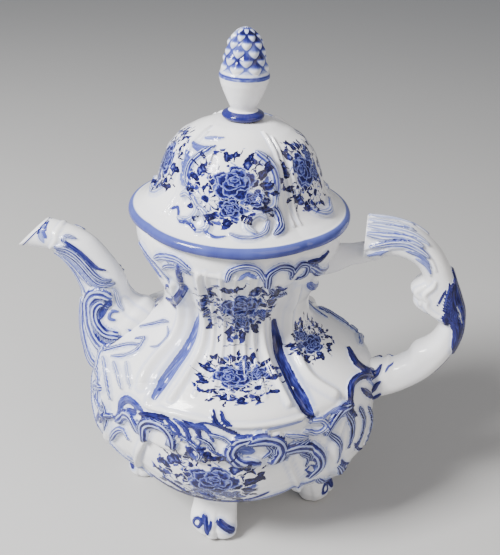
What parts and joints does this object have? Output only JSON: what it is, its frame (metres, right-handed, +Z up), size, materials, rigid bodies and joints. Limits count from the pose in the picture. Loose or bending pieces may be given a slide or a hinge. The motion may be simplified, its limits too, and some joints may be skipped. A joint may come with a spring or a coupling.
{
  "type": "porcelain teapot",
  "caption": "Footed baroque porcelain teapot with a lobed bowl, hollow spout, scrolled handle, paw feet and a domed lift-off lid with a pointed knob, white with blue painting.",
  "frame": {"origin": "on the vertical axis of the pot, at table level", "axes": "+Z up, -X towards the spout, +X towards the handle, -Y the front panel"},
  "size_m": [0.3244, 0.196, 0.361],
  "materials": {
    "pot_body": "gloss",
    "spout": "gloss",
    "handle": "gloss",
    "foot_front": "gloss",
    "foot_back": "gloss",
    "foot_spout_side": "gloss",
    "foot_handle_side": "gloss",
    "lid": "gloss",
    "finial": "gloss"
  },
  "bodies": {
    "pot": {"pot_body": "pot_body", "spout": "spout", "handle": "handle", "foot_front": "foot_front", "foot_back": "foot_back", "foot_spout_side": "foot_spout_side", "foot_handle_side": "foot_handle_side"},
    "lid_and_knob": {"lid": "lid", "finial": "finial"}
  },
  "joints": [
    {"name": "lid_lift", "type": "slide", "parent": "pot", "child": "lid_and_knob", "axis": [0, 0, 1], "range_m": [0, 0.12]}
  ]
}
